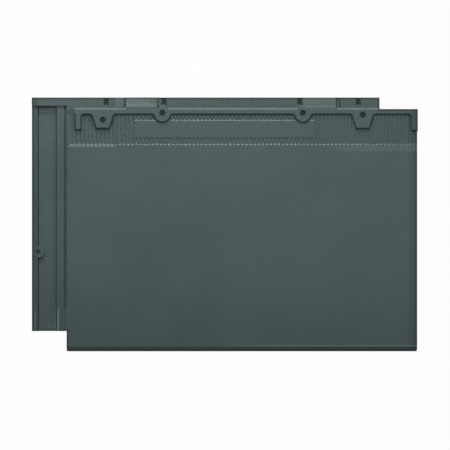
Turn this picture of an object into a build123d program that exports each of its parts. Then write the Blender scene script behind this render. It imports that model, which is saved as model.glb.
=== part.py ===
from build123d import *
from math import radians, tan
import os

# Flat interlocking roof tile, pressed and fired as one piece. Millimetres.
# It lies face up on its two hanging nibs and its nose, with the head at +Y and the
# nose at -Y. The origin is under the middle of the tile, on the floor.

# Overall plan
tile_width = 450.0
tile_length = 296.2
underlap_width = 40.8
underlap_setback = 23.5
corner_radius = 2.0

# Panel
panel_top = 24.0
panel_thickness = 12.0
right_edge_inset = 0.5
long_edge_radius = 0.8

# Nose, the exposed lower edge
nose_bevel_run = 3.2
nose_bevel_drop = 2.4
nose_brow_run = 2.4
nose_brow_drop = 2.2
nose_draft = 0.8
nose_lip_foot = 10.5
nose_lip_root = 13.5

# Underlap on the left: outer rib, wide groove, inner rib, narrow gap
underlap_bottom = 8.6
underlap_rib_top = 18.4
underlap_groove_floor = 14.2
outer_rib_width = 6.7
wide_groove_width = 21.3
inner_rib_width = 9.8
rib_draft = 1.1
gap_floor = 16.6
outer_edge_radius = 0.6
groove_ramp_length = 26.0
groove_ramp_rise = 0.9

# Overlap on the right, which covers the next tile's underlap
overlap_clearance = 0.5
overlap_side_clearance = 1.0
down_rib_clearance = 4.2
down_rib_floor_clearance = 1.0

# Head band, lower than the rim, and the notch beside it
band_depth = 12.2
band_over_underlap = 9.7
band_top = 20.6
band_right_setback = 44.2
notch_edge_setback = 13.8
band_edge_radius = 0.6
rim_back_run = 2.3
rim_back_drop = 1.5
scoop_width = 6.0
scoop_length = 9.6
scoop_depth = 4.4
scoop_slope = 33.0
scoop_shifts = (3.7, 1.9, -3.2, -4.8)
tick_count = 3
tick_spacing = 3.8
tick_middle_x = -0.8
tick_width = 1.0
tick_depth = 0.5
tick_length = 7.0

# Raised rim with its lobes, bosses and end tabs
rim_height = 3.0
rim_front_setback = 20.8
rim_left_setback = 9.2
rim_wall_slope = 32.0
rim_root_depth = 3.8
lobe_foot_width = 27.0
lobe_tip_width = 16.6
lobe_reach = 16.5
foot_corner_radius = 2.2
left_lobe_offset = 42.3
right_lobe_offset = 64.1
boss_radius = 10.6
boss_setback = 19.6
left_boss_offset = 111.7
right_boss_offset = 133.8
left_tab_width = 8.8
left_tab_reach = 18.0
right_tab_width = 10.1
right_tab_reach = 19.0
right_tab_overhang = 1.6

# Fine water grooves under the rim
strip_length = 34.7
groove_count = 85
groove_left_margin = 5.7
groove_right_margin = 4.3
groove_width = 4.0
groove_depth = 1.0
groove_slope = 60.0
groove_hidden_length = 3.0
deep_strip_margin = 0.8
deep_strip_width = 57.9
deep_strip_depth = 0.8
deep_strip_slope = 70.0
deep_strip_lead = 2.2
corner_patch_front_depth = 2.2
corner_patch_back_depth = 0.6
pad_left_offset = 79.2
pad_right_offset = 120.7
pad_setback = 27.2
pad_length = 19.5
pad_rise = 0.25

# Nibs that hang the tile on its batten, and the sloped tops above them
nib_thickness = 14.0
nib_draft = 2.2
left_nib_offset = 69.4
left_nib_width = 36.0
left_nib_back = 8.2
left_nib_back_run = 3.1
left_nib_back_drop = 2.0
left_nib_shoulder = 24.5
left_nib_back_edge = 22.2
right_nib_offset = 131.9
right_nib_width = 37.2
right_nib_back = 10.2
right_nib_back_run = 1.2
right_nib_back_drop = 1.1
right_nib_shoulder = 21.1
right_nib_back_edge = 20.8
nib_edge_ease = 0.8
left_divider_width = 2.0
divider_width = 1.3
divider_depth = 2.0
divider_spacing = 3.4

# Nail holes
nail_hole_radius = 3.1
nail_hole_chamfer = 0.7
left_lobe_hole_setback = 26.5
right_lobe_hole_setback = 20.7
boss_hole_setback = 18.5
side_hole_radius = 2.6
side_boss_radius = 6.9
side_hole_inset = 7.5
side_hole_y = -32.0

# Underside stiffening
stiffener_drop = 3.0
stiffener_width = 12.0
head_stiffener_width = 20.0
middle_stiffener_spacing = 122.0
cross_stiffener_y = -18.0

# How far one form runs into the next where they join, or past a surface that it cuts
join = 1.0

# Places worked out from the sizes above
left = -tile_width / 2
right = tile_width / 2
head = tile_length / 2
nose = -tile_length / 2
panel_left = left + underlap_width
panel_right = right - right_edge_inset
panel_width = panel_right - panel_left
panel_bottom = panel_top - panel_thickness
rim_top = panel_top + rim_height
rim_root = panel_top - rim_root_depth
rim_back = head - band_depth
rim_front = head - rim_front_setback
rim_wall_run = rim_height * tan(radians(rim_wall_slope))
rim_crest = rim_front + rim_wall_run
rim_left = panel_left + rim_left_setback
notch_back = head - notch_edge_setback
band_right = right - band_right_setback
strip_front = rim_front - strip_length
nose_back = nose + nose_lip_root
underlap_front = nose + underlap_setback
underlap_back = head - band_over_underlap
nib_front = head - nib_thickness
middle_y = (nose_back + nib_front) / 2
under_length = nib_front - nose_back
left_lobe_x = panel_left + left_lobe_offset
right_lobe_x = right - right_lobe_offset
left_boss_x = panel_left + left_boss_offset
right_boss_x = right - right_boss_offset

with BuildPart() as roof_tile:
    # Panel and nose share one long section. Its long upper edges are rounded.
    with BuildSketch(Plane.YZ.offset(panel_left)):
        with BuildLine():
            Polyline(
                (nose + nose_draft, 0),
                (nose, panel_top - nose_bevel_drop - nose_brow_drop),
                (nose + nose_brow_run, panel_top - nose_bevel_drop),
                (nose + nose_brow_run + nose_bevel_run, panel_top),
                (notch_back, panel_top),
                (notch_back, panel_bottom),
                (nose_back, panel_bottom),
                (nose + nose_lip_foot, 0),
                close=True,
            )
        make_face()
    extrude(amount=panel_width)
    upright_edges = roof_tile.edges().filter_by(lambda edge: abs(edge.tangent_at(0.5).Z) > 0.9)
    fillet(upright_edges.group_by(Axis.Y)[0], corner_radius)
    long_edges = roof_tile.edges().filter_by(Axis.Y).group_by(Axis.Z)[-1]
    fillet(long_edges, long_edge_radius)

    # Underside stiffeners: one along each side, two between, one across and one at the head.
    side_rib_xs = (
        panel_left + stiffener_width / 2,
        panel_right - underlap_width - overlap_side_clearance - stiffener_width / 2,
    )
    under_middle_x = (side_rib_xs[0] + side_rib_xs[1]) / 2
    middle_rib_xs = (
        under_middle_x - middle_stiffener_spacing / 2,
        under_middle_x + middle_stiffener_spacing / 2,
    )
    with BuildSketch(Plane.XY.offset(panel_bottom + join)):
        for x in side_rib_xs + middle_rib_xs:
            with Locations((x, middle_y)):
                Rectangle(stiffener_width, under_length)
        with Locations((under_middle_x, cross_stiffener_y)):
            Rectangle(side_rib_xs[1] - side_rib_xs[0], stiffener_width)
        with Locations((under_middle_x, notch_back - head_stiffener_width / 2)):
            Rectangle(side_rib_xs[1] - side_rib_xs[0] + stiffener_width, head_stiffener_width)
    extrude(amount=-stiffener_drop - join)

    # Underlap: the water channel that the next tile covers.
    rib_end = left + outer_rib_width
    groove_end = rib_end + wide_groove_width
    inner_end = groove_end + inner_rib_width
    with BuildSketch(Plane.XZ.offset(-underlap_back)):
        with BuildLine():
            Polyline(
                (left, underlap_bottom),
                (left, underlap_rib_top),
                (rib_end, underlap_rib_top),
                (rib_end + rib_draft, underlap_groove_floor),
                (groove_end, underlap_groove_floor),
                (groove_end + rib_draft, underlap_rib_top),
                (inner_end, underlap_rib_top),
                (inner_end + rib_draft, gap_floor),
                (panel_left + join, gap_floor),
                (panel_left + join, underlap_bottom),
                close=True,
            )
        make_face()
    extrude(amount=underlap_back - underlap_front)
    outer_edges = roof_tile.edges().filter_by(Axis.Y).group_by(Axis.X)[0]
    fillet(outer_edges.group_by(Axis.Z)[-1], outer_edge_radius)

    # The wide groove's floor rises a little towards its lower end.
    with BuildSketch(Plane.YZ.offset(rib_end)):
        with BuildLine():
            Polyline(
                (underlap_front, underlap_groove_floor - join),
                (underlap_front, underlap_groove_floor + groove_ramp_rise),
                (underlap_front + groove_ramp_length, underlap_groove_floor - join),
                close=True,
            )
        make_face()
    extrude(amount=wide_groove_width + rib_draft)

    # Overlap: the underside is cut away for the next tile's ribs, and a rib hangs into its groove.
    next_left = panel_right - underlap_width
    flange_bottom = underlap_rib_top + overlap_clearance
    down_rib_start = next_left + outer_rib_width + down_rib_clearance
    down_rib_end = next_left + outer_rib_width + wide_groove_width - down_rib_clearance + rib_draft
    down_rib_bottom = underlap_groove_floor + down_rib_floor_clearance
    with BuildSketch(Plane.XZ.offset(-notch_back)):
        with BuildLine():
            Polyline(
                (next_left - overlap_side_clearance, -join),
                (next_left - overlap_side_clearance, flange_bottom),
                (down_rib_start - rib_draft, flange_bottom),
                (down_rib_start, down_rib_bottom),
                (down_rib_end, down_rib_bottom),
                (down_rib_end + rib_draft, flange_bottom),
                (right + join, flange_bottom),
                (right + join, -join),
                close=True,
            )
        make_face()
    extrude(amount=notch_back - nose_back, mode=Mode.SUBTRACT)

    # The left end of the fine strip lies a little deeper, behind a gentle slope.
    deep_floor = panel_top - deep_strip_depth
    deep_run = deep_strip_depth * tan(radians(deep_strip_slope))
    deep_front = strip_front - deep_strip_lead
    deep_left = panel_left + deep_strip_margin
    with BuildSketch(Plane.XY.offset(panel_top)):
        with Locations((deep_left, deep_front)):
            Rectangle(
                deep_strip_width - deep_strip_margin,
                notch_back - deep_front,
                align=(Align.MIN, Align.MIN),
            )
    extrude(amount=-deep_strip_depth, taper=deep_strip_slope, mode=Mode.SUBTRACT)

    # Fine water grooves, each a shallow pocket with sloped sides and a sloped end.
    groove_pitch = (panel_width - groove_left_margin - groove_right_margin) / (groove_count - 1)
    deep_reach = deep_strip_width - deep_run - groove_left_margin - groove_width / 2
    deep_count = 1 + int(deep_reach / groove_pitch)
    groove_end_y = rim_front + groove_hidden_length
    groove_groups = (
        (0, deep_count, deep_front + deep_run, deep_floor),
        (deep_count, groove_count - deep_count, strip_front, panel_top),
    )
    for first, count, start_y, surface in groove_groups:
        middle_x = panel_left + groove_left_margin + (first + (count - 1) / 2) * groove_pitch
        with BuildSketch(Plane.XY.offset(surface)):
            with Locations((middle_x, (start_y + groove_end_y) / 2)):
                with GridLocations(groove_pitch, 0, count, 1):
                    Rectangle(groove_width, groove_end_y - start_y)
        extrude(amount=-groove_depth, taper=groove_slope, mode=Mode.SUBTRACT)

    # The bare pad stands a little above the crests between the grooves.
    pad_left = panel_left + pad_left_offset
    pad_right = right - pad_right_offset
    with BuildSketch(Plane.XY.offset(panel_top + pad_rise)):
        with Locations((pad_left, head - pad_setback - pad_length)):
            Rectangle(pad_right - pad_left, pad_length, align=(Align.MIN, Align.MIN))
    extrude(amount=-groove_depth - pad_rise, taper=-groove_slope)

    # Head band behind the rim, and across the head of the underlap, with its back edge rounded.
    with BuildSketch(Plane.XY.offset(underlap_bottom)):
        with Locations((left, head)):
            Rectangle(band_right - left, band_over_underlap, align=(Align.MIN, Align.MAX))
        with Locations((panel_left, head)):
            Rectangle(band_right - panel_left, notch_edge_setback + join, align=(Align.MIN, Align.MAX))
    extrude(amount=band_top - underlap_bottom)
    back_edges = roof_tile.edges().filter_by(Axis.X).group_by(Axis.Y)[-1]
    fillet(back_edges.group_by(Axis.Z)[-1], band_edge_radius)

    # Rim: its back edge is sloped where the band is behind it, and upright beside the notch.
    with BuildSketch(Plane.YZ.offset(rim_left)):
        with BuildLine():
            Polyline(
                (rim_crest, rim_root),
                (rim_crest, rim_top),
                (rim_back - rim_back_run, rim_top),
                (rim_back, rim_top - rim_back_drop),
                (rim_back, rim_root),
                close=True,
            )
        make_face()
    extrude(amount=band_right - rim_left)
    with BuildSketch(Plane.YZ.offset(band_right)):
        with BuildLine():
            Polyline(
                (rim_crest, flange_bottom),
                (rim_crest, rim_top),
                (notch_back, rim_top),
                (notch_back, flange_bottom),
                close=True,
            )
        make_face()
    extrude(amount=right - band_right)

    # The rim's front, its lobes, bosses and tabs share one sloped wall with eased corners.
    lobe_tip = rim_front - lobe_reach
    with BuildSketch(Plane.XY.offset(panel_top)) as feet:
        for x in (left_lobe_x, right_lobe_x):
            with BuildLine():
                Polyline(
                    (x - lobe_foot_width / 2, rim_front),
                    (x - lobe_tip_width / 2, lobe_tip),
                    (x + lobe_tip_width / 2, lobe_tip),
                    (x + lobe_foot_width / 2, rim_front),
                    close=True,
                )
            make_face()
        with Locations((rim_left, rim_front)):
            Rectangle(left_tab_width, left_tab_reach, align=(Align.MIN, Align.MAX))
        with Locations((right + right_tab_overhang, rim_front)):
            Rectangle(right_tab_width, right_tab_reach, align=(Align.MAX, Align.MAX))
        tips = feet.vertices().filter_by(lambda corner: corner.Y < rim_front - join)
        fillet(tips, foot_corner_radius)
        with Locations((left_boss_x, head - boss_setback), (right_boss_x, head - boss_setback)):
            Circle(boss_radius)
        with Locations((rim_left, rim_front)):
            Rectangle(
                right + right_tab_overhang - rim_left,
                2 * rim_wall_run + join,
                align=(Align.MIN, Align.MIN),
            )
        joints = feet.vertices().filter_by(
            lambda corner: abs(corner.Y - rim_front) < 0.01 and rim_left + join < corner.X < right
        )
        fillet(joints, foot_corner_radius)
    extrude(amount=rim_height, taper=rim_wall_slope)

    # Below their feet the lobes, bosses and tabs fill the grooves.
    extrude(feet.sketch, amount=-rim_root_depth)

    # Hanging nibs under the band, and the sloped tops above them.
    left_nib_start = panel_left + left_nib_offset
    right_nib_start = right - right_nib_offset
    right_nib_end = right_nib_start + right_nib_width
    nibs = (
        (
            left_nib_start,
            left_nib_width,
            left_nib_back,
            left_nib_back_run,
            left_nib_back_drop,
            left_nib_shoulder,
            left_nib_back_edge,
        ),
        (
            right_nib_start,
            right_nib_width,
            right_nib_back,
            right_nib_back_run,
            right_nib_back_drop,
            right_nib_shoulder,
            right_nib_back_edge,
        ),
    )
    for start, width, back, back_run, back_drop, shoulder, back_edge in nibs:
        with BuildSketch(Plane.YZ.offset(start)):
            with BuildLine():
                Polyline(
                    (nib_front, 0),
                    (nib_front, rim_top),
                    (head - back - back_run, rim_top),
                    (head - back, rim_top - back_drop),
                    (head - back + nib_edge_ease, shoulder),
                    (head - nib_edge_ease, back_edge),
                    (head, back_edge - nib_edge_ease),
                    (head - nib_draft, 0),
                    close=True,
                )
            make_face()
        extrude(amount=width)

    # Thin grooves beside the sloped tops.
    dividers = (
        (left_nib_start - left_divider_width, left_divider_width),
        (right_nib_end, divider_width),
        (right_nib_end + divider_spacing, divider_width),
    )
    with BuildSketch(Plane.XY.offset(band_top)):
        for x, width in dividers:
            with Locations((x, rim_back)):
                Rectangle(width, band_depth, align=(Align.MIN, Align.MIN))
    extrude(amount=-divider_depth, mode=Mode.SUBTRACT)

    # Troughs beside the nail holes, open at the back, and the centre ticks, all in the band.
    scoop_run = scoop_depth * tan(radians(scoop_slope))
    with BuildSketch(Plane.XY.offset(band_top)):
        for x, shift in zip((left_lobe_x, left_boss_x, right_boss_x, right_lobe_x), scoop_shifts):
            with Locations((x + shift, head + scoop_run)):
                Rectangle(scoop_width, scoop_length + scoop_run, align=(Align.CENTER, Align.MAX))
    extrude(amount=-scoop_depth, taper=scoop_slope, mode=Mode.SUBTRACT)
    with BuildSketch(Plane.XY.offset(band_top)):
        with Locations((tick_middle_x, head - tick_length / 2)):
            with GridLocations(tick_spacing, 0, tick_count, 1):
                Rectangle(tick_width, tick_length)
    extrude(amount=-tick_depth, mode=Mode.SUBTRACT)

    # The panel's head corner beside the underlap is lower than the rim and slopes to the front.
    with BuildSketch(Plane.YZ.offset(panel_left - join)):
        with BuildLine():
            Polyline(
                (rim_front, panel_top + join),
                (rim_front, panel_top - corner_patch_front_depth),
                (rim_back, panel_top - corner_patch_back_depth),
                (rim_back, panel_top + join),
                close=True,
            )
        make_face()
    extrude(amount=rim_left_setback + join, mode=Mode.SUBTRACT)

    # Boss for the side nail hole, standing in the wide groove.
    side_hole_x = left + side_hole_inset
    with BuildSketch(Plane.XY.offset(underlap_bottom)):
        with Locations((side_hole_x, side_hole_y)):
            Circle(side_boss_radius)
    extrude(amount=underlap_rib_top - underlap_bottom)

    # Nail holes, with their mouths eased.
    nail_holes = (
        (left_lobe_x, head - left_lobe_hole_setback),
        (left_boss_x, head - boss_hole_setback),
        (right_boss_x, head - boss_hole_setback),
        (right_lobe_x, head - right_lobe_hole_setback),
    )
    with Locations(*[(x, y, rim_top) for x, y in nail_holes]):
        CounterSinkHole(nail_hole_radius, nail_hole_radius + nail_hole_chamfer, counter_sink_angle=90)
    with Locations((side_hole_x, side_hole_y, underlap_rib_top)):
        Hole(side_hole_radius)

    # Nothing stands past the side edge.
    split(bisect_by=Plane.YZ.offset(right), keep=Keep.BOTTOM)

roof_tile.part.label = "roof_tile"
os.makedirs("parts", exist_ok=True)
export_step(roof_tile.part, "parts/roof_tile.step")
print("volume_cm3", round(roof_tile.part.volume / 1000, 1), roof_tile.part.bounding_box())
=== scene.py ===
import bpy
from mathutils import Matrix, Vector

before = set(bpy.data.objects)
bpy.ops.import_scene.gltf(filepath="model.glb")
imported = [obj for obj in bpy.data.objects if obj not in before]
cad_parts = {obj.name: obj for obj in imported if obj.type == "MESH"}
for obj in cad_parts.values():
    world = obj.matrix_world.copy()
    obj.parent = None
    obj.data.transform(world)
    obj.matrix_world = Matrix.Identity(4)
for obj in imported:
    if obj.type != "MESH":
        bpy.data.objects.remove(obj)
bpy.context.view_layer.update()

# The tile itself: one piece of clay, pressed in a plaster mould and fired once.
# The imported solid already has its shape, so it stays and gets its finish here.
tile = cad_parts["roof_tile"]

# The glaze: a dark slate green satin glaze, sprayed on before the firing.
# It is thin and pale on the edges, which also carry a painted highlight, has painted
# shade at the foot of the walls, and stops short of the underside, which is bare fired clay.
GLAZE_DARK = (0.056, 0.087, 0.084, 1.0)
GLAZE_LIGHT = (0.080, 0.121, 0.117, 1.0)
# the colour of all the painted shade below
PAINTED_SHADE_COLOUR = (0.016, 0.026, 0.026, 1.0)
# thin pale glaze, and also the colour of the painted highlights and painted light below
THIN_GLAZE_AND_PAINTED_LIGHT = (0.150, 0.200, 0.195, 1.0)
GLAZE_IOR = 1.5
GLAZE_SPECULAR = 0.4

# the nodes of each material stand in rows
NODES_A_ROW = 10
NODE_WIDTH = 240
NODE_HEIGHT = 320

glaze = bpy.data.materials.new("slate_green_glaze")
glaze.use_nodes = True
tree = glaze.node_tree
tree.nodes.clear()


def shader_node(kind, label):
    row, column = divmod(len(tree.nodes), NODES_A_ROW)
    node = tree.nodes.new(kind)
    node.label = label
    node.location = (column * NODE_WIDTH, -row * NODE_HEIGHT)
    return node


def join(source, target):
    tree.links.new(source, target)


def feed(source, target):
    if isinstance(source, bpy.types.NodeSocket):
        join(source, target)
    else:
        target.default_value = source


def noise(label, place, scale, detail, rough):
    node = shader_node("ShaderNodeTexNoise", label)
    node.inputs["Scale"].default_value = scale
    node.inputs["Detail"].default_value = detail
    node.inputs["Roughness"].default_value = rough
    join(place, node.inputs["Vector"])
    return node.outputs["Fac"]


# a ramp is given by where it starts and ends, and by what it gives there
def ramp(label, source, low, high, at_low, at_high):
    node = shader_node("ShaderNodeMapRange", label)
    node.interpolation_type = "SMOOTHSTEP"
    node.inputs["From Min"].default_value = low
    node.inputs["From Max"].default_value = high
    node.inputs["To Min"].default_value = at_low
    node.inputs["To Max"].default_value = at_high
    join(source, node.inputs["Value"])
    return node.outputs["Result"]


def combine(label, kind, first, second):
    node = shader_node("ShaderNodeMath", label)
    node.operation = kind
    feed(first, node.inputs[0])
    feed(second, node.inputs[1])
    return node.outputs["Value"]


def combine_vectors(label, kind, first, second=(0.0, 0.0, 0.0)):
    node = shader_node("ShaderNodeVectorMath", label)
    node.operation = kind
    feed(first, node.inputs[0])
    feed(second, node.inputs[1])
    return node.outputs["Vector"]


def split(label, source):
    node = shader_node("ShaderNodeSeparateXYZ", label)
    join(source, node.inputs["Vector"])
    return node.outputs


def blend(label, factor, first, second, kind="MIX"):
    node = shader_node("ShaderNodeMix", label)
    node.data_type = "RGBA"
    node.blend_type = kind
    join(factor, node.inputs["Factor"])
    feed(first, node.inputs["A"])
    feed(second, node.inputs["B"])
    return node.outputs["Result"]


# how far a point lies inside the plan of the tile, from its nearest outer edge. The plan
# is two oblongs laid over each other, and each has its middle and half its sides here.
TILE_PLAN = (
    ((-0.0221, 0.01175, 0.0), (0.2029, 0.13635, 1.0)),
    ((0.02015, -0.0069, 0.0), (0.20435, 0.1412, 1.0)),
)
FAR_OUTSIDE = -1.0

reach_group = bpy.data.node_groups.new("reach_inside_outline", "ShaderNodeTree")
interface = reach_group.interface
interface.new_socket(name="Point", in_out="INPUT", socket_type="NodeSocketVector")
interface.new_socket(name="Reach", in_out="OUTPUT", socket_type="NodeSocketFloat")
tree = reach_group
point = shader_node("NodeGroupInput", "point").outputs["Point"]
reach = FAR_OUTSIDE
for middle, half in TILE_PLAN:
    offset = combine_vectors("from the middle", "SUBTRACT", point, middle)
    spread = combine_vectors("either way", "ABSOLUTE", offset)
    sides = split("to each side", combine_vectors("room left", "SUBTRACT", half, spread))
    nearest = combine("nearest side", "MINIMUM", sides["X"], sides["Y"])
    reach = combine("reach inside", "MAXIMUM", nearest, reach)
join(reach, shader_node("NodeGroupOutput", "reach").inputs["Reach"])
tree = glaze.node_tree


def reach_inside(place):
    node = shader_node("ShaderNodeGroup", "reach inside the outline")
    node.node_tree = reach_group
    join(place, node.inputs["Point"])
    return node.outputs["Reach"]


# a line is given by where it starts, is full, thins out and ends across itself, by
# where it fades in along itself, and by how much of its tone it takes
def painted_line(label, across, limits, along, fade, share):
    start, full, thinning, end = limits
    near_side = ramp(label + " starts", across, start, full, 0.0, share)
    far_side = ramp(label + " ends", across, thinning, end, 1.0, 0.0)
    line = combine(label, "MULTIPLY", near_side, far_side)
    return combine(label + " fades", "MULTIPLY", line, ramp(label, along, *fade, 0.0, 1.0))


output = shader_node("ShaderNodeOutputMaterial", "output")
body = shader_node("ShaderNodeBsdfPrincipled", "satin glaze")
body.inputs["IOR"].default_value = GLAZE_IOR
body.inputs["Specular IOR Level"].default_value = GLAZE_SPECULAR
join(body.outputs["BSDF"], output.inputs["Surface"])

coords = shader_node("ShaderNodeTexCoord", "place on the tile")
on_tile = coords.outputs["Object"]
axes = split("right, up the roof, height", on_tile)
rightward, headward, height = axes["X"], axes["Y"], axes["Z"]
leftward = combine("leftward", "MULTIPLY", rightward, -1.0)
noseward = combine("noseward", "MULTIPLY", headward, -1.0)
facing_up = split("way the surface faces", coords.outputs["Normal"])["Z"]

# tone of the glaze, from its fine mottling, its broad clouds and its pale flecks,
# each with the scale, detail and roughness of its noise
MOTTLING = (380.0, 4.0, 0.62)
CLOUDS = (14.0, 3.0, 0.5)
FLECKS = (150.0, 5.0, 0.7)
MOTTLING_TONE = (0.3, 0.7, -0.16, 0.16)
CLOUD_TONE = (0.3, 0.7, 0.36, 0.64)
FLECK_TONE = (0.62, 0.78, 0.0, 0.35)

mottling = noise("mottling of the glaze", on_tile, *MOTTLING)
clouds = noise("broad clouds of tone", on_tile, *CLOUDS)
flecks = noise("pale flecks", on_tile, *FLECKS)
fine_tone = ramp("mottling share", mottling, *MOTTLING_TONE)
broad_tone = ramp("cloud share", clouds, *CLOUD_TONE)
fleck_tone = ramp("fleck share", flecks, *FLECK_TONE)
even_tone = combine("fine and broad", "ADD", fine_tone, broad_tone)
tone = combine("tone", "ADD", even_tone, fleck_tone)
colour = blend("glaze colour", tone, GLAZE_DARK, GLAZE_LIGHT)

# both long margins are painted darker, a painted shade along them
RIGHT_MARGIN = (0.2115, 0.2215, 0.0, 1.0)
LEFT_MARGIN = (0.2165, 0.2185, 0.0, 1.0)
MARGIN_PAINTED_SHADE = (0.76, 0.76, 0.76, 1.0)

right_margin = ramp("right margin", rightward, *RIGHT_MARGIN)
left_margin = ramp("left margin", leftward, *LEFT_MARGIN)
margins = combine("margins", "MAXIMUM", right_margin, left_margin)
colour = blend("darker margins", margins, colour, MARGIN_PAINTED_SHADE, "MULTIPLY")

# painted shade along the outer edges, darker low down towards the nose, on the
# slope of the nose and at its foot
OUTER_LINE = (0.0018, 0.0028, 0.65, 0.0)
LOW_DOWN = (0.05, 0.145, 0.0, 0.16)
NOSE_SLOPE_SHADE = (0.1422, 0.1436, 0.0, 0.3)
NOSE_FOOT = (0.1449, 0.1455, 0.0, 1.0)

outer_line = ramp("outer edges", reach_inside(on_tile), *OUTER_LINE)
low_down = ramp("low down", noseward, *LOW_DOWN)
nose_slope_shade = ramp("shade on the nose slope", noseward, *NOSE_SLOPE_SHADE)
nose_foot = ramp("foot of the nose", noseward, *NOSE_FOOT)
on_nose = combine("on the nose", "MAXIMUM", nose_slope_shade, nose_foot)
lower_half = combine("lower half", "MAXIMUM", on_nose, low_down)
edge_and_nose_shade = combine("edges and nose in painted shade", "MAXIMUM", outer_line, lower_half)
colour = blend("painted shade on edges and nose", edge_and_nose_shade, colour, PAINTED_SHADE_COLOUR)

# painted shade in the corners, and on the steep faces
CORNER_RAYS = 8
CORNER_REACH = 0.0035
CORNER_PAINTED_SHADE = (0.38, 0.74, 0.15, 0.0)
STEEP_FACES = (0.70, 0.86, 0.38, 0.0)

corners = shader_node("ShaderNodeAmbientOcclusion", "corners")
corners.samples = CORNER_RAYS
corners.inputs["Distance"].default_value = CORNER_REACH
corner_shade = ramp("corner shade share", corners.outputs["AO"], *CORNER_PAINTED_SHADE)
colour = blend("painted shade in corners", corner_shade, colour, PAINTED_SHADE_COLOUR)
steep = ramp("steep share", facing_up, *STEEP_FACES)
colour = blend("painted shade on steep faces", steep, colour, PAINTED_SHADE_COLOUR)

# thin pale glaze on the edges, broken up as the spray was, and a painted highlight on them
EDGE_RAYS = 4
EDGE_REACH = 0.0008
EDGE_SHARE = (0.55, 0.9, 0.2, 0.0)
EDGE_BREAKS = (0.35, 0.6, 0.4, 1.0)

edges = shader_node("ShaderNodeAmbientOcclusion", "edges")
edges.samples = EDGE_RAYS
edges.inside = True
edges.inputs["Distance"].default_value = EDGE_REACH
edge_share = ramp("edge share", edges.outputs["AO"], *EDGE_SHARE)
edge_breaks = ramp("edge breaks", mottling, *EDGE_BREAKS)
broken_edge = combine("broken edge", "MULTIPLY", edge_share, edge_breaks)
colour = blend("thin glaze, painted edge highlight", broken_edge, colour, THIN_GLAZE_AND_PAINTED_LIGHT)

# painted highlights and painted light: pale lines where the right half of the panel
# breaks down to the nose, along the ribs of the underlap and in the narrow gap near their
# lower end, pale patches on the head band by the left nib and over the right one, and a
# pale smear below the grooves on the right
PALE_LINES = (
    ("nose break", noseward, (0.1405, 0.1410, 0.1418, 0.1423), rightward, (0.0, 0.06), 0.45),
    ("inner rib", leftward, (0.1930, 0.1936, 0.1949, 0.1955), noseward, (0.092, 0.108), 0.9),
    ("groove side", leftward, (0.1975, 0.1980, 0.1985, 0.1990), noseward, (0.092, 0.108), 0.5),
    ("outer rib", leftward, (0.2198, 0.2205, 0.2215, 0.2222), noseward, (0.092, 0.108), 0.4),
    ("gap", leftward, (0.1850, 0.1856, 0.1872, 0.1878), noseward, (-0.136, -0.134), 0.45),
    ("gap end", leftward, (0.1838, 0.1844, 0.1872, 0.1878), noseward, (0.088, 0.100), 0.9),
    ("left nib", rightward, (-0.1275, -0.1265, -0.1190, -0.1180), headward, (0.136, 0.138), 0.35),
    ("right nib", rightward, (0.0905, 0.0925, 0.1285, 0.1295), headward, (0.134, 0.136), 0.28),
    ("smear", headward, (0.0845, 0.0865, 0.0915, 0.0920), rightward, (0.11, 0.15), 0.25),
)

pale = 0.0
for pale_line in PALE_LINES:
    pale = combine("pale lines", "MAXIMUM", painted_line(*pale_line), pale)
colour = blend("painted light lines", pale, colour, THIN_GLAZE_AND_PAINTED_LIGHT)

# painted shade over the bright slope of the left nib, darker towards its right end
NIB_SLOPE = (-0.1145, -0.1135, -0.0775, -0.0770)
NIB_SLOPE_FOOT = (0.136, 0.137)
NIB_PAINTED_SHADE = (-0.092, -0.079, 0.2, 0.55)

nib_slope = painted_line("nib slope", rightward, NIB_SLOPE, headward, NIB_SLOPE_FOOT, 1.0)
nib_share = ramp("darker to the right", rightward, *NIB_PAINTED_SHADE)
over_nib = combine("over the nib", "MULTIPLY", nib_slope, nib_share)
colour = blend("painted shade over the nib", over_nib, colour, PAINTED_SHADE_COLOUR)

# below the rim: painted shade along the slope above the pad, damping its highlight,
# and painted light on the crests between the grooves, lifting the rim's shadow
BELOW_RIM = (0.0243, 0.0246, 1.0, 0.0)
PAD_SLOPE = (0.1216, 0.1218, 0.12255, 0.12275)
PAD_LEFT_END = (-0.108, -0.107)
PAD_RIGHT_END = (0.106, 0.107, 1.0, 0.0)
PAD_SLOPE_SHARE = 0.95
CRESTS = (0.1224, 0.1250, 0.1285, 0.1290)
CREST_HEIGHT = (0.0232, 0.0236)
CREST_SHARE = 0.3

below_rim = ramp("below the rim", height, *BELOW_RIM)
pad_slope = painted_line("pad slope", headward, PAD_SLOPE, rightward, PAD_LEFT_END, PAD_SLOPE_SHARE)
pad_end = ramp("right end of the pad", rightward, *PAD_RIGHT_END)
pad_slope = combine("as long as the pad", "MULTIPLY", pad_slope, pad_end)
above_pad = combine("above the pad", "MULTIPLY", pad_slope, below_rim)
colour = blend("painted shade above the pad", above_pad, colour, PAINTED_SHADE_COLOUR)
crests = painted_line("crests", headward, CRESTS, height, CREST_HEIGHT, CREST_SHARE)
crests = combine("crests below the rim", "MULTIPLY", crests, below_rim)
colour = blend("painted light on the crests", crests, colour, THIN_GLAZE_AND_PAINTED_LIGHT)

# bare clay under the tile, and along the foot of its walls up to the ragged end of
# the spray
BARE_CLAY_DARK = (0.062, 0.052, 0.045, 1.0)
BARE_CLAY_LIGHT = (0.105, 0.088, 0.074, 1.0)
CLAY_GRAIN = (0.35, 0.65, 0.0, 1.0)
FACES_DOWN = (-0.6, -0.25, 1.0, 0.0)
RAGGED_END = (0.3, 0.7, -0.0015, 0.0015)
WALL_FOOT = (0.002, 0.0035, 1.0, 0.0)

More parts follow.
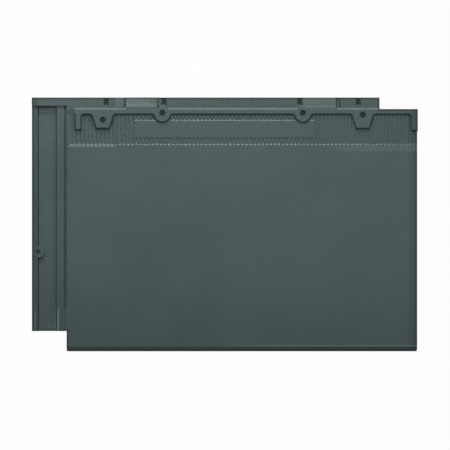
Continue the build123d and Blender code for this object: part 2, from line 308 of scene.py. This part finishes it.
grain = ramp("clay grain", flecks, *CLAY_GRAIN)
clay = blend("clay colour", grain, BARE_CLAY_DARK, BARE_CLAY_LIGHT)
faces_down = ramp("faces down", facing_up, *FACES_DOWN)
ragged = ramp("ragged end", clouds, *RAGGED_END)
ragged_height = combine("ragged height", "ADD", height, ragged)
wall_foot = ramp("foot of the walls", ragged_height, *WALL_FOOT)
bare = combine("bare clay", "MAXIMUM", faces_down, wall_foot)
colour = blend("glaze or clay", bare, colour, clay)
join(colour, body.inputs["Base Color"])

# the glaze has a satin gloss, and the clay is dull
SATIN = (0.3, 0.7, 0.26, 0.33)
CLAY_ROUGHNESS = 0.85

satin = ramp("satin", mottling, *SATIN)
gloss = shader_node("ShaderNodeMix", "satin or dull")
join(bare, gloss.inputs["Factor"])
join(satin, gloss.inputs["A"])
gloss.inputs["B"].default_value = CLAY_ROUGHNESS
join(gloss.outputs["Result"], body.inputs["Roughness"])

# rubbed edges, and the slight orange peel of the glaze
ARRIS_RAYS = 4
ARRIS_RADIUS = 0.0005
PEEL_STRENGTH = 0.35
PEEL_DEPTH = 0.0002

arris = shader_node("ShaderNodeBevel", "rubbed edges")
arris.samples = ARRIS_RAYS
arris.inputs["Radius"].default_value = ARRIS_RADIUS
peel = shader_node("ShaderNodeBump", "orange peel")
peel.inputs["Strength"].default_value = PEEL_STRENGTH
peel.inputs["Distance"].default_value = PEEL_DEPTH
join(mottling, peel.inputs["Height"])
join(arris.outputs["Normal"], peel.inputs["Normal"])
join(peel.outputs["Normal"], body.inputs["Normal"])

tile.data.materials.clear()
tile.data.materials.append(glaze)

# The floor: a plain white sheet of board under the tile.
# It shows white to the camera and in reflections and keeps a faint shadow. Under the
# tile it is painted dark, a painted shade, with a faint painted green glow standing in
# for the green bounce from the glaze.
FLOOR_RADIUS = 30.0
FLOOR_SIDES = 64
FLOOR_DROP = 0.0002
SHADE_INSET = 0.003
FLOOR_WHITE = 0.975
PAINTED_DEEP_SHADE = 0.038
LIT_BOARD = 0.6
PAINTED_SHADED_BOARD = 0.05
SEEN_STRENGTH = 1.0
OPEN_LIGHT = (1.0, 1.0, 1.0, 1.0)
PAINTED_GREEN_LIGHT = (0.6, 1.0, 1.0, 1.0)

bpy.ops.object.select_all(action="DESELECT")
bpy.ops.mesh.primitive_circle_add(
    vertices=FLOOR_SIDES, radius=FLOOR_RADIUS, fill_type="NGON", location=(0, 0, -FLOOR_DROP)
)
floor = bpy.context.active_object
floor.name = "white_floor"
bpy.ops.object.transform_apply(location=True, rotation=True, scale=True)

board = bpy.data.materials.new("white_board")
board.use_nodes = True
tree = board.node_tree
tree.nodes.clear()
output = shader_node("ShaderNodeOutputMaterial", "output")
surface = shader_node("ShaderNodeMixShader", "lit or seen")
lit = shader_node("ShaderNodeBsdfDiffuse", "lit board")
seen = shader_node("ShaderNodeEmission", "seen board")
seen.inputs["Strength"].default_value = SEEN_STRENGTH
join(lit.outputs["BSDF"], surface.inputs[1])
join(seen.outputs["Emission"], surface.inputs[2])
join(surface.outputs["Shader"], output.inputs["Surface"])

on_floor = shader_node("ShaderNodeTexCoord", "place on the floor").outputs["Object"]
shade = combine("under the tile", "GREATER_THAN", reach_inside(on_floor), SHADE_INSET)
shaded_part = combine("lost to shade", "MULTIPLY", shade, FLOOR_WHITE - PAINTED_DEEP_SHADE)
brightness = combine("brightness", "SUBTRACT", FLOOR_WHITE, shaded_part)
board_tone = ramp("board in shade", shade, 0.0, 1.0, LIT_BOARD, PAINTED_SHADED_BOARD)
join(board_tone, lit.inputs["Color"])
join(blend("painted green light", shade, OPEN_LIGHT, PAINTED_GREEN_LIGHT), seen.inputs["Color"])

ray = shader_node("ShaderNodeLightPath", "kind of ray").outputs
mirrored = combine("camera or glossy", "MAXIMUM", ray["Is Camera Ray"], ray["Is Glossy Ray"])
seen_ray = combine("or transmission", "MAXIMUM", mirrored, ray["Is Transmission Ray"])
join(combine("how white", "MULTIPLY", seen_ray, brightness), surface.inputs["Fac"])
floor.data.materials.append(board)

# The light: two wide soft boxes over the head of the tile, a low one that picks out
# the slopes facing the head and a high one that fills their shadows, a weak one on the
# right, and a dim even room. Each box has its place, width, height and power.
SOFT_BOXES = (
    ("head_box", (-0.10, 0.50, 0.78), 0.80, 0.30, 3.2),
    ("low_box", (-0.10, 0.86, 0.47), 0.80, 0.12, 4.5),
    ("side_box", (0.95, 0.45, 0.75), 0.40, 0.40, 1.5),
)
ROOM_COLOUR = (1.0, 1.0, 1.0, 1.0)
ROOM_LEVEL = 0.34

for name, place, width, tallness, power in SOFT_BOXES:
    bpy.ops.object.select_all(action="DESELECT")
    bpy.ops.object.light_add(type="AREA", location=place)
    soft_box = bpy.context.active_object
    soft_box.name = name
    soft_box.data.shape = "RECTANGLE"
    soft_box.data.size = width
    soft_box.data.size_y = tallness
    soft_box.data.energy = power
    to_tile = -Vector(place)
    soft_box.rotation_euler = to_tile.to_track_quat("-Z", "Y").to_euler()

room = bpy.data.worlds.new("dim_room")
room.use_nodes = True
room_light = room.node_tree.nodes["Background"]
room_light.inputs["Color"].default_value = ROOM_COLOUR
room_light.inputs["Strength"].default_value = ROOM_LEVEL
bpy.context.scene.world = room

# The camera: straight above the tile, as in the photo, with a long lens so that the
# walls hardly show. The width of its view is measured at the tile's upper face.
VIEW_WIDTH = 0.5248
VIEW_CENTRE = (0.0005, -0.0007)
UPPER_FACE = 0.022
LENS = 200.0
SENSOR = 36.0
FARTHEST = 100.0

camera_height = UPPER_FACE + VIEW_WIDTH * LENS / SENSOR
bpy.ops.object.select_all(action="DESELECT")
bpy.ops.object.camera_add(location=(*VIEW_CENTRE, camera_height), rotation=(0, 0, 0))
camera = bpy.context.active_object
camera.name = "camera"
camera.data.lens = LENS
camera.data.sensor_width = SENSOR
camera.data.clip_end = FARTHEST
bpy.context.scene.camera = camera
bpy.context.scene.view_settings.view_transform = "Standard"
